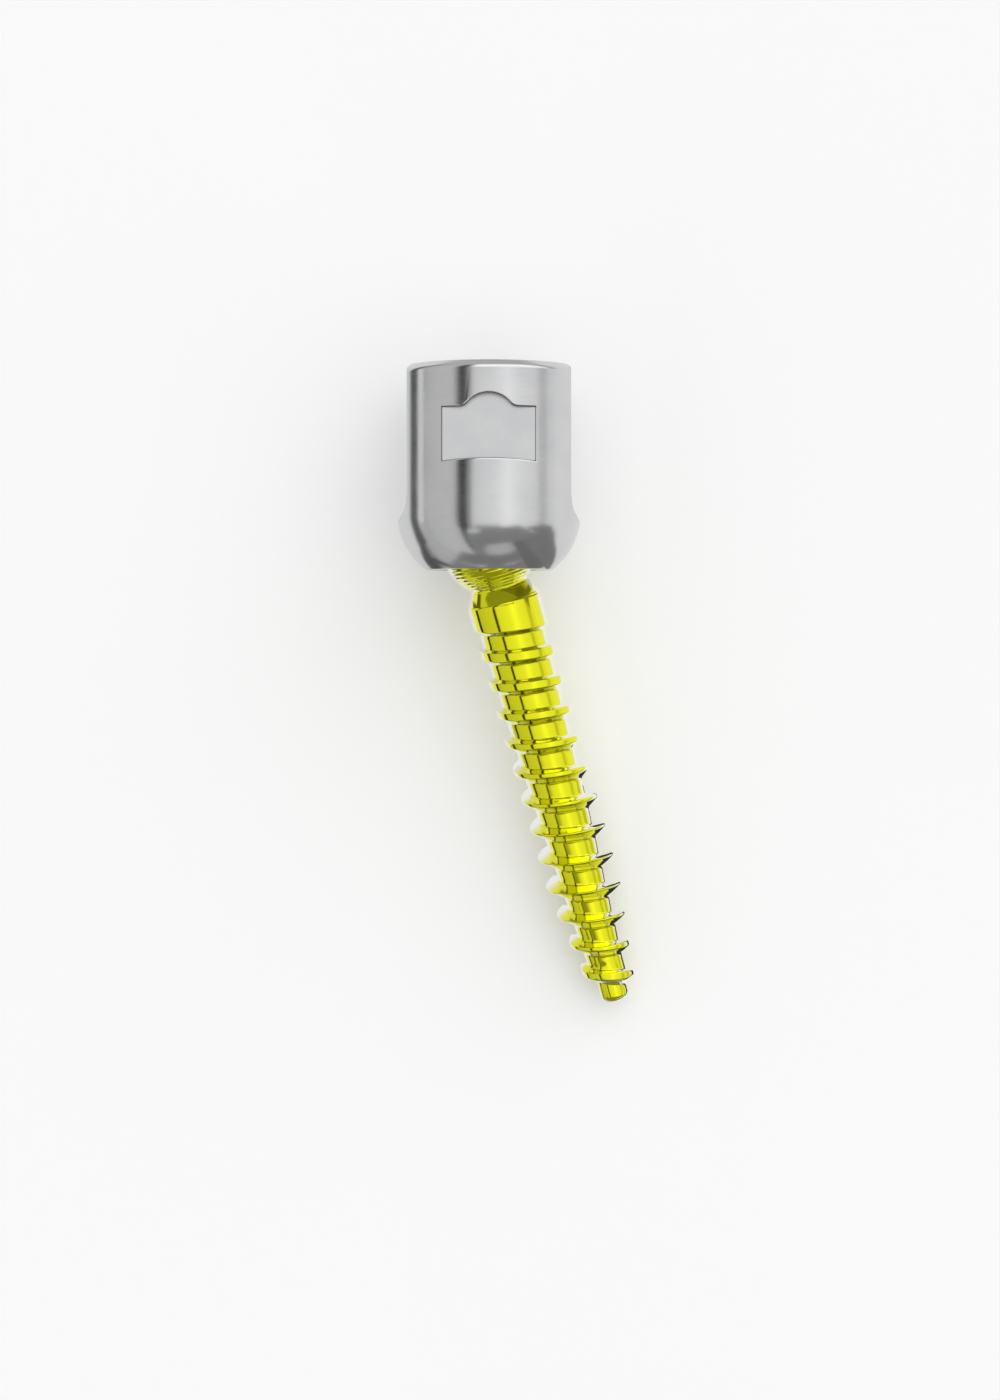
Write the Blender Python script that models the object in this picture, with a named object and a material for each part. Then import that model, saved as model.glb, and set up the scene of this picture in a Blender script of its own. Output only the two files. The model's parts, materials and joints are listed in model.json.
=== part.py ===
"""Polyaxial pedicle screw: a slotted receiver on a ball-headed bone screw, lying on its side.

All sizes are in metres. Each piece is modelled about the ball's centre, with +Z along the
receiver's axis towards its open end, the rod's direction along X and the two arms along Y.
The whole part is then laid down: the receiver's axis points along world +Y, one arm faces up,
and the screw leans sideways and down until its thread touches the floor.
"""

import math

import bmesh
import bpy
import numpy as np
from mathutils import Matrix, Vector

# Receiver, outside. Heights are measured from the ball's centre.
TULIP_RADIUS = 0.0073
TULIP_FLATS = 0.0130
TULIP_TOP = 0.01455
TULIP_DROP = 0.00168
RIM_CHAMFER = 0.0005
RIM_FILLET = 0.0005
RIDGE_HEIGHT = 0.00212
RUNOUT_RADIUS = 0.0031
BOWL_TOP = 0.0027
BOWL_RADIUS = 0.00535

# Instrument pocket in each arm
POCKET_WIDTH = 0.00724
POCKET_BOTTOM = 0.0067
POCKET_BOTTOM_RISE = 0.0002
POCKET_HEIGHT = 0.00416
POCKET_CROWN_RISE = 0.00105
POCKET_CROWN_RADIUS = 0.0022
POCKET_FILLET = 0.0009
POCKET_DEPTH = 0.0012

# Rod and saddle
ROD_DIAMETER = 0.0055
ROD_CLEARANCE = 0.0001
SADDLE_RADIUS = 0.00455
SADDLE_BORE_CLEARANCE = 0.0001
SADDLE_SKIRT = 0.0006
SADDLE_SEAT = 0.00375
SADDLE_WALL_HEIGHT = 0.00185
SADDLE_HOLE_RADIUS = 0.0025
SLOT_BELOW_SEAT = 0.0002
SHOULDER_GAP = 0.0002
BORE_CHAMFER = 0.0003

# Ball joint
BALL_RADIUS = 0.00376
BALL_FLAT_HEIGHT = 0.00255
BALL_CLEARANCE = 0.00008
RIB_COUNT = 17
RIB_DEPTH = 0.00005
THROAT_CLEARANCE = 0.00024
MOUTH_CLEARANCE = 0.00014
RING_DROP = 0.00055
RING_HEIGHT = 0.0007
RING_RADIUS = 0.0044
RING_SPLIT = 0.0012
GROOVE_CLEARANCE = 0.0001
GROOVE_SIDE_CLEARANCE = 0.00005

# Drive socket in the ball's flat
DRIVE_RADIUS = 0.0019
DRIVE_LOBE = 0.00027
DRIVE_LOBES = 6
DRIVE_DEPTH = 0.0028

# Bone screw below the ball. Distances are measured along it from the ball's centre.
NECK_RADIUS = 0.00238
NECK_LENGTH = 0.00014
COLLAR_START = 0.0041
COLLAR_BEVEL = 0.00007
THREAD_RADIUS = 0.003
THREAD_PITCH = 0.0025
THREAD_PHASE = 0.00855
THREAD_BASE = 0.00117
THREAD_LEAST_CREST = 0.0001
UPPER_FLANK = math.radians(15)
LOWER_FLANK = math.radians(37)
CORE_START = 0.00655
CORE_END = 0.035
CORE_START_RADIUS = 0.00262
CORE_END_RADIUS = 0.00146
CORE_TAPER_POWER = 1.25
CREST_TAPER_START = 0.0286
CREST_TAPER_END = 0.0363
CREST_END_RADIUS = 0.00198
GROOVE_FIRST_TURN = -1.55
GROOVE_FULL_TURN = -1.3
THREAD_FADE_TURN = 11.3
THREAD_LAST_TURN = 11.57
STUB_RADIUS = 0.00114
STUB_STEP_START = 0.0362
STUB_STEP_END = 0.0366
TIP_ROUND = 0.00062
SCREW_LENGTH = 0.0386

# Lean of the screw sideways, as seen from above
SIDE_LEAN = math.radians(15.8)

# Facets in a full turn
TULIP_FACETS = 64
SCREW_FACETS = 36

# Points of one outline that lie closer than this are the same point
SAME_POINT = 0.0000005

SLOT_WIDTH = ROD_DIAMETER + 2 * ROD_CLEARANCE
SLOT_FLOOR = SADDLE_SEAT - SLOT_BELOW_SEAT
BORE_RADIUS = SADDLE_RADIUS + SADDLE_BORE_CLEARANCE
CUP_RADIUS = BALL_RADIUS + BALL_CLEARANCE
CUTTER_REACH = 0.003


def remove_everything():
    for old in list(bpy.data.objects):
        bpy.data.objects.remove(old, do_unlink=True)


def metal(name, colour, roughness):
    """One metal finish as a Principled material."""
    material = bpy.data.materials.new(name)
    material.use_nodes = True
    shader = material.node_tree.nodes["Principled BSDF"]
    shader.inputs["Base Color"].default_value = (*colour, 1)
    shader.inputs["Metallic"].default_value = 1
    shader.inputs["Roughness"].default_value = roughness
    material.diffuse_color = (*colour, 1)
    return material


def object_from(name, points, faces, material=None):
    mesh = bpy.data.meshes.new(name)
    mesh.from_pydata(points, [], faces)
    mesh.validate()
    piece = bpy.data.objects.new(name, mesh)
    bpy.context.collection.objects.link(piece)
    if material:
        mesh.materials.append(material)
        mesh.shade_smooth()
        mesh.set_sharp_from_angle(angle=math.radians(30))
    return piece


def arc(centre, radius, start, end, steps):
    """Points of a circular arc, both ends included. Angles are in radians."""
    angles = np.linspace(start, end, steps + 1)
    return [(centre[0] + radius * math.cos(a), centre[1] + radius * math.sin(a)) for a in angles]


def revolved(name, profile, facets, material):
    """A closed (radius, height) profile, drawn clockwise, turned about Z into one ring-shaped solid.

    The middles of the facets lie at the profile's radii, and a facet faces each way along X and Y.
    """
    count = len(profile)
    reach = 1 / math.cos(math.pi / facets)
    points = []
    for i in range(facets):
        angle = 2 * math.pi * (i + 0.5) / facets
        points += [(r * reach * math.cos(angle), r * reach * math.sin(angle), z) for r, z in profile]
    faces = []
    for i in range(facets):
        here = i * count
        following = (i + 1) % facets * count
        for j in range(count):
            k = (j + 1) % count
            faces.append((here + j, here + k, following + k, following + j))
    return object_from(name, points, faces, material)


def add_prism(mesh, outline, matrix, depth):
    """Extrudes a closed (x, y) outline by depth along its local Z, inside a bmesh."""
    base = [mesh.verts.new(matrix @ Vector((x, y, 0))) for x, y in outline]
    face = mesh.faces.new(base)
    extruded = bmesh.ops.extrude_face_region(mesh, geom=[face])
    lifted = [v for v in extruded["geom"] if isinstance(v, bmesh.types.BMVert)]
    shift = matrix.to_3x3() @ Vector((0, 0, depth))
    bmesh.ops.translate(mesh, verts=lifted, vec=shift)


def cutter(name, mesh):
    """Turns a bmesh of closed prisms into a hidden cutting tool."""
    bmesh.ops.recalc_face_normals(mesh, faces=mesh.faces)
    data = bpy.data.meshes.new(name)
    mesh.to_mesh(data)
    mesh.free()
    tool = bpy.data.objects.new(name, data)
    bpy.context.collection.objects.link(tool)
    tool.hide_render = True
    tool.display_type = "WIRE"
    return tool


def cut(piece, tool):
    tool.parent = piece
    boolean = piece.modifiers.new(tool.name, "BOOLEAN")
    boolean.operation = "DIFFERENCE"
    boolean.solver = "EXACT"
    boolean.object = tool


# Local frames of the outlines: (rod, axis) seen along the arms, and (arm, axis) seen along the rod
ALONG_ARM = Matrix(((1, 0, 0, 0), (0, 0, -1, 0), (0, 1, 0, 0), (0, 0, 0, 1)))
ALONG_ROD = Matrix(((0, 0, 1, 0), (1, 0, 0, 0), (0, 1, 0, 0), (0, 0, 0, 1)))


def u_outline(half_width, floor, top, steps):
    """A channel with a round bottom and straight walls."""
    centre = (0, floor + half_width)
    return arc(centre, half_width, math.pi, 2 * math.pi, steps) + [(half_width, top), (-half_width, top)]


def slot_cutter():
    mesh = bmesh.new()
    length = 2 * (TULIP_RADIUS + CUTTER_REACH)
    place = Matrix.Translation((-length / 2, 0, 0)) @ ALONG_ROD
    add_prism(mesh, u_outline(SLOT_WIDTH / 2, SLOT_FLOOR, TULIP_TOP + CUTTER_REACH, 21), place, length)
    return cutter("slot_cutter", mesh)


def flats_cutter():
    """Two side mills whose rounded ends run out above the bowl."""
    mesh = bmesh.new()
    flat = TULIP_FLATS / 2
    bite = TULIP_RADIUS - flat
    rise = math.sqrt(RUNOUT_RADIUS ** 2 - (RUNOUT_RADIUS - bite) ** 2)
    centre = (flat + RUNOUT_RADIUS, RIDGE_HEIGHT + rise)
    top = TULIP_TOP + CUTTER_REACH
    sweep = math.radians(60)
    outline = arc(centre, RUNOUT_RADIUS, math.pi, math.pi + sweep, 12)
    outline += [(centre[0], outline[-1][1]), (centre[0], top), (flat, top)]
    depth = 2 * (TULIP_RADIUS + CUTTER_REACH)
    for side in (1, -1):
        place = Matrix.Translation((0, depth / 2, 0)) @ ALONG_ARM
        add_prism(mesh, [(side * x, z) for x, z in outline], place, depth)
    return cutter("flats_cutter", mesh)


def pocket_outline():
    """A rectangle with an arched lower edge, and an upper edge with a rounded crown between fillets."""
    half = POCKET_WIDTH / 2
    sill_radius = (half ** 2 + POCKET_BOTTOM_RISE ** 2) / (2 * POCKET_BOTTOM_RISE)
    sill_centre = (0, POCKET_BOTTOM + POCKET_BOTTOM_RISE - sill_radius)
    spread = math.asin(half / sill_radius)
    sill = arc(sill_centre, sill_radius, math.pi / 2 + spread, math.pi / 2 - spread, 7)
    shoulder = POCKET_BOTTOM + POCKET_HEIGHT
    crown = (0, shoulder + POCKET_CROWN_RISE - POCKET_CROWN_RADIUS)
    fillet_height = shoulder + POCKET_FILLET
    reach = POCKET_CROWN_RADIUS + POCKET_FILLET
    lean = math.asin((fillet_height - crown[1]) / reach)
    fillet_x = reach * math.cos(lean)
    right = arc((fillet_x, fillet_height), POCKET_FILLET, 1.5 * math.pi, math.pi + lean, 5)
    over = arc(crown, POCKET_CROWN_RADIUS, lean, math.pi - lean, 13)
    left = [(-x, z) for x, z in reversed(right)]
    return right + over[1:-1] + left + [(-half, shoulder)] + sill + [(half, shoulder)]


def pocket_cutter():
    mesh = bmesh.new()
    floor = TULIP_RADIUS - POCKET_DEPTH
    for turn in (0, math.pi):
        place = Matrix.Rotation(turn, 4, "Z") @ Matrix.Translation((0, -floor, 0)) @ ALONG_ARM
        add_prism(mesh, pocket_outline(), place, POCKET_DEPTH + CUTTER_REACH)
    return cutter("pocket_cutter", mesh)


def tulip(material):
    """The receiver: turned inside and out, then milled for the rod, the side flats and the pockets."""
    bowl_centre = (TULIP_RADIUS - BOWL_RADIUS, BOWL_TOP)
    bowl_end = math.asin((BOWL_TOP + TULIP_DROP) / BOWL_RADIUS)
    mouth = BALL_RADIUS + MOUTH_CLEARANCE
    throat = BALL_RADIUS + THROAT_CLEARANCE
    groove = RING_RADIUS + GROOVE_CLEARANCE
    groove_top = -RING_DROP + GROOVE_SIDE_CLEARANCE
    groove_bottom = -RING_DROP - RING_HEIGHT - GROOVE_SIDE_CLEARANCE
    shoulder = SADDLE_SKIRT - SHOULDER_GAP
    fillet_height = TULIP_TOP - RIM_CHAMFER - RIM_FILLET * math.tan(math.pi / 8)
    profile = [(TULIP_RADIUS - RIM_CHAMFER, TULIP_TOP)]
    profile += arc((TULIP_RADIUS - RIM_FILLET, fillet_height), RIM_FILLET, math.pi / 4, 0, 3)
    profile += arc(bowl_centre, BOWL_RADIUS, 0, -bowl_end, 9)
    profile += [
        (mouth, -TULIP_DROP),
        (mouth, groove_bottom),
        (groove, groove_bottom),
        (groove, groove_top),
        (throat, groove_top),
        (throat, shoulder),
        (BORE_RADIUS, shoulder),
        (BORE_RADIUS, TULIP_TOP - BORE_CHAMFER),
        (BORE_RADIUS + BORE_CHAMFER, TULIP_TOP),
    ]
    body = revolved("tulip", profile, TULIP_FACETS, material)
    for tool in (slot_cutter(), flats_cutter(), pocket_cutter()):
        cut(body, tool)
    return body


def pressure_saddle(material):
    """The cup on the ball, with the rod's groove across its top and a hole for the driver."""
    cup_start = math.asin(SADDLE_SKIRT / CUP_RADIUS)
    cup_end = math.acos(SADDLE_HOLE_RADIUS / CUP_RADIUS)
    top = SADDLE_SEAT + SADDLE_WALL_HEIGHT
    bevel = SADDLE_BORE_CLEARANCE
    profile = arc((0, 0), CUP_RADIUS, cup_start, cup_end, 6)
    profile += [
        (SADDLE_HOLE_RADIUS, top),
        (SADDLE_RADIUS - bevel, top),
        (SADDLE_RADIUS, top - bevel),
        (SADDLE_RADIUS, SADDLE_SKIRT),
    ]
    saddle = revolved("pressure_saddle", profile, TULIP_FACETS, material)
    mesh = bmesh.new()
    length = 2 * (SADDLE_RADIUS + CUTTER_REACH)
    place = Matrix.Translation((-length / 2, 0, 0)) @ ALONG_ROD
    half = ROD_DIAMETER / 2 + ROD_CLEARANCE / 2
    add_prism(mesh, u_outline(half, SADDLE_SEAT, top + CUTTER_REACH, 21), place, length)
    cut(saddle, cutter("groove_cutter", mesh))
    return saddle


def retaining_ring(material):
    """A split ring whose inner face follows the ball below its widest point."""
    high = -RING_DROP
    low = -RING_DROP - RING_HEIGHT
    inner = arc((0, 0), CUP_RADIUS, math.asin(high / CUP_RADIUS), math.asin(low / CUP_RADIUS), 3)
    section = inner + [(RING_RADIUS, low), (RING_RADIUS, high)]
    half_gap = math.asin(RING_SPLIT / 2 / RING_RADIUS)
    steps = TULIP_FACETS
    count = len(section)
    points = []
    for angle in np.linspace(half_gap, 2 * math.pi - half_gap, steps + 1):
        points += [(r * math.cos(angle), r * math.sin(angle), z) for r, z in section]
    faces = []
    for i in range(steps):
        for j in range(count):
            k = (j + 1) % count
            near = i * count
            far = near + count
            faces.append((near + k, near + j, far + j, far + k))
    faces.append(tuple(range(count)))
    faces.append(tuple(reversed(range(steps * count, steps * count + count))))
    return object_from("retaining_ring", points, faces, material)


def smooth(value, low, high):
    """0 below low, 1 above high, and an even S between them."""
    x = min(max((value - low) / (high - low), 0), 1)
    return x * x * (3 - 2 * x)


def core_radius(distance):
    """The shank's tapered core, which steps down to the stub at its tip."""
    along = min(max((distance - CORE_START) / (CORE_END - CORE_START), 0), 1)
    core = CORE_START_RADIUS - (CORE_START_RADIUS - CORE_END_RADIUS) * along ** CORE_TAPER_POWER
    return core + (STUB_RADIUS - core) * smooth(distance, STUB_STEP_START, STUB_STEP_END)


def crest_radius(distance):
    """The thread's outside: straight for most of its length, then a cone."""
    along = min(max((distance - CREST_TAPER_START) / (CREST_TAPER_END - CREST_TAPER_START), 0), 1)
    return THREAD_RADIUS + (CREST_END_RADIUS - THREAD_RADIUS) * along


def thread_turn(turn):
    """The four corners of the thread's section, as (distance, radius), at a place along the helix.

    turn counts whole turns from the crest that faces the camera nearest the collar. The groove after
    each crest deepens from nothing at the first turn, and the crest sinks into the core at the last.
    """
    crest_at = THREAD_PHASE + THREAD_PITCH * turn
    core = core_radius(crest_at)
    fade = 1 - smooth(turn, THREAD_FADE_TURN, THREAD_LAST_TURN)
    outside = core + (crest_radius(crest_at) - core) * fade
    above = (outside - core) * smooth(turn - 1, GROOVE_FIRST_TURN, GROOVE_FULL_TURN)
    below = (outside - core) * smooth(turn, GROOVE_FIRST_TURN, GROOVE_FULL_TURN)
    upper = above * math.tan(UPPER_FLANK)
    lower = below * math.tan(LOWER_FLANK)
    crest = max(THREAD_BASE - upper - lower, THREAD_LEAST_CREST)
    root_above = crest_at - crest / 2 - upper
    root_below = crest_at + crest / 2 + lower
    return (
        (root_above, root_radius(root_above, outside, above)),
        (crest_at - crest / 2, outside),
        (crest_at + crest / 2, outside),
        (root_below, root_radius(root_below, outside, below)),
    )


def root_radius(distance, outside, depth):
    """The groove's floor: the core where the groove is full, the crest where it hasn't begun."""
    return min(outside, max(core_radius(distance), outside - depth))


def ball_rings():
    """(distance, radius) of the ribbed ball, from its flat to the neck."""
    start = math.acos(BALL_FLAT_HEIGHT / BALL_RADIUS)
    end = math.pi - math.asin(NECK_RADIUS / BALL_RADIUS)
    rings = []
    for i in range(2 * RIB_COUNT + 1):
        angle = start + (end - start) * i / (2 * RIB_COUNT)
        radius = BALL_RADIUS - RIB_DEPTH * (i % 2)
        rings.append((-radius * math.cos(angle), radius * math.sin(angle)))
    return rings


def bone_screw(material):
    """Ball, neck, collar, threaded shank and tip as one skin of rings and helical strips."""
    facets = SCREW_FACETS
    points = []
    faces = []

    def ring(distance, radius):
        first = len(points)
        for i in range(facets):
            angle = 2 * math.pi * i / facets
            r = radius(angle) if callable(radius) else radius
            points.append((r * math.cos(angle), r * math.sin(angle), -distance))
        return list(range(first, first + facets))

    def strip(upper, lower):
        for i in range(facets):
            k = (i + 1) % facets
            corners = []
            for corner in (upper[i], lower[i], lower[k], upper[k]):
                if corner not in corners:
                    corners.append(corner)
            if len(corners) > 2:
                faces.append(corners)

    def lobes(angle):
        return DRIVE_RADIUS + DRIVE_LOBE * math.cos(DRIVE_LOBES * angle)

    socket_floor = ring(-BALL_FLAT_HEIGHT + DRIVE_DEPTH, lobes)
    rings = [socket_floor, ring(-BALL_FLAT_HEIGHT, lobes)]
    rings += [ring(*where) for where in ball_rings()]
    junction = math.sqrt(BALL_RADIUS ** 2 - NECK_RADIUS ** 2)
    rings.append(ring(junction + NECK_LENGTH, NECK_RADIUS))
    rings.append(ring(COLLAR_START, THREAD_RADIUS - COLLAR_BEVEL))
    collar_edge = COLLAR_START + COLLAR_BEVEL
    rings.append(ring(collar_edge, THREAD_RADIUS))
    for upper, lower in zip(rings, rings[1:]):
        strip(upper, lower)
    points.append((0, 0, BALL_FLAT_HEIGHT - DRIVE_DEPTH))
    floor_centre = len(points) - 1
    for i in range(facets):
        faces.append((floor_centre, socket_floor[i], socket_floor[(i + 1) % facets]))

    thread_end = SCREW_LENGTH - TIP_ROUND
    top_ring = rings[-1]
    end_ring = ring(thread_end, STUB_RADIUS)
    first_turn = math.floor((collar_edge - THREAD_PHASE) / THREAD_PITCH) - 2
    last_turn = math.ceil((thread_end - THREAD_PHASE) / THREAD_PITCH) + 1
    snap = COLLAR_BEVEL
    columns = []
    for i in range(facets):
        part_turn = i / facets + 0.25
        angle = 2 * math.pi * i / facets
        column = []
        for whole in range(first_turn, last_turn + 1):
            for distance, radius in thread_turn(whole + part_turn):
                if distance < collar_edge + snap:
                    column.append(top_ring[i])
                    continue
                if distance > thread_end - snap:
                    column.append(end_ring[i])
                    continue
                point = (radius * math.cos(angle), radius * math.sin(angle), -distance)
                if column and math.dist(points[column[-1]], point) < SAME_POINT:
                    column.append(column[-1])
                else:
                    column.append(len(points))
                    points.append(point)
        columns.append(column)
    wrapped = columns[0][4:] + [end_ring[0]] * 4
    columns.append(wrapped)
    for here, following in zip(columns, columns[1:]):
        for j in range(len(here) - 1):
            corners = []
            for corner in (here[j], here[j + 1], following[j + 1], following[j]):
                if corner not in corners:
                    corners.append(corner)
            if len(corners) > 2:
                faces.append(corners)

    steps = 5
    above = end_ring
    for i in range(1, steps):
        angle = math.pi / 2 * i / steps
        below = ring(thread_end + TIP_ROUND * math.sin(angle), STUB_RADIUS * math.cos(angle))
        strip(above, below)
        above = below
    points.append((0, 0, -SCREW_LENGTH))
    for i in range(facets):
        faces.append((above[i], len(points) - 1, above[(i + 1) % facets]))
    return object_from("bone_screw", points, faces, material)


def empty(name, parent=None):
    guide = bpy.data.objects.new(name, None)
    guide.empty_display_size = BALL_RADIUS
    bpy.context.collection.objects.link(guide)
    guide.parent = parent
    return guide


def corners_of(piece, matrix):
    """The piece's points, cut as the viewport shows it, after a transform."""
    graph = bpy.context.evaluated_depsgraph_get()
    evaluated = piece.evaluated_get(graph)
    mesh = evaluated.to_mesh()
    flat = np.empty(3 * len(mesh.vertices))
    mesh.vertices.foreach_get("co", flat)
    evaluated.to_mesh_clear()
    turned = np.array(matrix)
    return flat.reshape(-1, 3) @ turned[:3, :3].T + turned[:3, 3]


def leaning(drop):
    """Turn about the receiver's axis, and tilt from it, that lean the screw sideways and down."""
    side = math.sin(SIDE_LEAN) * math.cos(drop)
    along = math.cos(SIDE_LEAN) * math.cos(drop)
    return math.atan2(math.sin(drop), side), math.acos(along)


def screw_matrix(drop):
    turn, tilt = leaning(drop)
    lean = Matrix.Rotation(turn, 4, "Z") @ Matrix.Rotation(-tilt, 4, "Y")
    return Matrix.Rotation(-math.pi / 2, 4, "X") @ lean @ Matrix.Rotation(-turn, 4, "Z")


def resting_drop(screw, floor):
    """The downward lean at which the screw's thread just reaches the floor under the receiver."""
    low, high = 0, math.radians(20)
    for _ in range(30):
        middle = (low + high) / 2
        lowest = corners_of(screw, screw_matrix(middle))[:, 2].min()
        if lowest > floor:
            low = middle
        else:
            high = middle
    return low


def lay_down(frame, turn_axis, tilt_axis, pieces):
    """Lays the part on the floor with its bounding box's bottom centre at the origin."""
    body, saddle, ring, screw = pieces
    sideways = Matrix.Rotation(-math.pi / 2, 4, "X")
    floor = corners_of(body, sideways)[:, 2].min()
    drop = resting_drop(screw, floor)
    turn, tilt = leaning(drop)
    frame.rotation_euler = (-math.pi / 2, 0, 0)
    turn_axis.rotation_euler = (0, 0, turn)
    tilt_axis.rotation_euler = (0, -tilt, 0)
    screw.rotation_euler = (0, 0, -turn)
    body.parent = frame
    saddle.parent = frame
    turn_axis.parent = frame
    ring.parent = turn_axis
    tilt_axis.parent = turn_axis
    screw.parent = tilt_axis
    everything = np.vstack([corners_of(body, sideways), corners_of(screw, screw_matrix(drop))])
    low = everything.min(axis=0)
    high = everything.max(axis=0)
    frame.location = (-(low[0] + high[0]) / 2, -(low[1] + high[1]) / 2, -low[2])


def main():
    remove_everything()
    titanium = metal("satin_titanium", (0.55, 0.56, 0.58), 0.32)
    polished = metal("polished_titanium", (0.62, 0.63, 0.65), 0.22)
    spring = metal("spring_titanium", (0.45, 0.46, 0.48), 0.3)
    yellow = metal("yellow_anodised_titanium", (0.85, 0.82, 0.03), 0.25)
    pieces = (tulip(titanium), pressure_saddle(polished), retaining_ring(spring), bone_screw(yellow))
    frame = empty("receiver_frame")
    turn_axis = empty("ring_turn_axis")
    tilt_axis = empty("screw_tilt_axis")
    lay_down(frame, turn_axis, tilt_axis, pieces)


main()
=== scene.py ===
import json
import math

import bmesh
import bpy
from mathutils import Matrix, Vector


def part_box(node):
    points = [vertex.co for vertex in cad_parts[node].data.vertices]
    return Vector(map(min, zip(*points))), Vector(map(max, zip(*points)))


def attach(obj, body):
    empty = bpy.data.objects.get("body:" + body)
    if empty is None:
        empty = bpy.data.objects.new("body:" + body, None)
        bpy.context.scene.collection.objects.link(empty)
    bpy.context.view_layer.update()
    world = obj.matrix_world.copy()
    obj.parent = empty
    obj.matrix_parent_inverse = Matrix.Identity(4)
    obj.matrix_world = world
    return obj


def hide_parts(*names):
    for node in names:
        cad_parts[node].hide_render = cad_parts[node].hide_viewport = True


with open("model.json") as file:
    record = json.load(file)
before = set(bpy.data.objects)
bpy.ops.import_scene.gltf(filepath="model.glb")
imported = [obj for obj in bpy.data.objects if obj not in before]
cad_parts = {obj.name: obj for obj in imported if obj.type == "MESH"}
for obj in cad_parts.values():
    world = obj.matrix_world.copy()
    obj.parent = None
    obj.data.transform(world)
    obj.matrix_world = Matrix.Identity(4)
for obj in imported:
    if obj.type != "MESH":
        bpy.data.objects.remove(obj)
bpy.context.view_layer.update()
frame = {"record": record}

# The sizes are those of the CAD model, in metres, measured from the ball's centre.
TULIP_RADIUS = 0.0073
TULIP_FLATS = 0.0130
TULIP_TOP = 0.01455
TULIP_DROP = 0.00168
RIM_CHAMFER = 0.0005
RIM_FILLET = 0.0005
RIDGE_HEIGHT = 0.00212
RUNOUT_RADIUS = 0.0031
BOWL_TOP = 0.0027
BOWL_RADIUS = 0.00535

POCKET_WIDTH = 0.00724
POCKET_BOTTOM = 0.0067
POCKET_BOTTOM_RISE = 0.0002
POCKET_HEIGHT = 0.00416
POCKET_CROWN_RISE = 0.00105
POCKET_CROWN_RADIUS = 0.0022
POCKET_FILLET = 0.0009
POCKET_DEPTH = 0.0012

ROD_DIAMETER = 0.0055
ROD_CLEARANCE = 0.0001
SADDLE_RADIUS = 0.00455
SADDLE_BORE_CLEARANCE = 0.0001
SADDLE_SKIRT = 0.0006
SADDLE_SEAT = 0.00375
SADDLE_WALL_HEIGHT = 0.00185
SADDLE_HOLE_RADIUS = 0.0025
SLOT_BELOW_SEAT = 0.0002
SHOULDER_GAP = 0.0002
BORE_CHAMFER = 0.0003

BALL_RADIUS = 0.00376
BALL_FLAT_HEIGHT = 0.00255
BALL_CLEARANCE = 0.00008
RIB_COUNT = 17
RIB_DEPTH = 0.00005
THROAT_CLEARANCE = 0.00024
MOUTH_CLEARANCE = 0.00014
RING_DROP = 0.00055
RING_HEIGHT = 0.0007
RING_RADIUS = 0.0044
RING_SPLIT = 0.0012
GROOVE_CLEARANCE = 0.0001
GROOVE_SIDE_CLEARANCE = 0.00005

DRIVE_RADIUS = 0.0019
DRIVE_LOBE = 0.00027
DRIVE_LOBES = 6
DRIVE_DEPTH = 0.0028
DRIVE_CHAMFER = 0.00012
DRIVE_FLOOR_DIP = 0.0003

NECK_RADIUS = 0.00238
NECK_LENGTH = 0.00014
COLLAR_START = 0.0041
COLLAR_BEVEL = 0.00007
THREAD_RADIUS = 0.003
THREAD_PITCH = 0.0025
THREAD_PHASE = 0.00855
THREAD_BASE = 0.00117
THREAD_LEAST_CREST = 0.0001
UPPER_FLANK = math.radians(15)
LOWER_FLANK = math.radians(37)
CORE_START = 0.00655
CORE_END = 0.035
CORE_START_RADIUS = 0.00262
CORE_END_RADIUS = 0.00146
CORE_TAPER_POWER = 1.25
CREST_TAPER_START = 0.0286
CREST_TAPER_END = 0.0363
CREST_END_RADIUS = 0.00198
GROOVE_FIRST_TURN = -1.55
GROOVE_FULL_TURN = -1.3
THREAD_FADE_TURN = 11.3
THREAD_LAST_TURN = 11.57
STUB_RADIUS = 0.00114
STUB_STEP_START = 0.0362
STUB_STEP_END = 0.0366
TIP_ROUND = 0.00062
SCREW_LENGTH = 0.0386
SIDE_LEAN = math.radians(15.8)

SLOT_WIDTH = ROD_DIAMETER + 2 * ROD_CLEARANCE
SLOT_FLOOR = SADDLE_SEAT - SLOT_BELOW_SEAT
BORE_RADIUS = SADDLE_RADIUS + SADDLE_BORE_CLEARANCE
CUP_RADIUS = BALL_RADIUS + BALL_CLEARANCE
CUTTER_REACH = 0.003

# Internal thread for the locking screw, cut into both arms
LOCK_PITCH = 0.001
LOCK_DEPTH = 0.00036
LOCK_START = 0.0071
LOCK_RELIEF = 0.0007
LOCK_BORE_OVERLAP = 0.00005
LOCK_FACETS = 96
# Where the flanks start and end, as shares of the pitch
LOCK_FLANKS = (0, 0.36, 0.52, 0.88)

# Softening of the machined edges
EDGE_BREAK = 0.00008
POCKET_BREAK = 0.00017
SHARP_ANGLE = math.radians(28)
SMOOTH_ANGLE = math.radians(36)
SCREW_SMOOTH_ANGLE = math.radians(50)
NECK_EASE = 0.0001
COLLAR_EASE = 0.00005
CREST_EASE = 0.0001
ROOT_EASE = 0.00028
MOST_EASE = 0.48

# Fineness of the meshes
TULIP_FACETS = 160
SADDLE_FACETS = 144
SCREW_FACETS = 160
RIM_STEPS = 8
BOWL_STEPS = 36
SLOT_STEPS = 63
RUNOUT_STEPS = 48
SILL_STEPS = 21
POCKET_FILLET_STEPS = 13
POCKET_CROWN_STEPS = 35
CUP_STEPS = 20
RING_STEPS = 8
RIB_STEPS = 6
EASE_STEPS = 4
FLOOR_POINTS = 5
TIP_STEPS = 12

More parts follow.
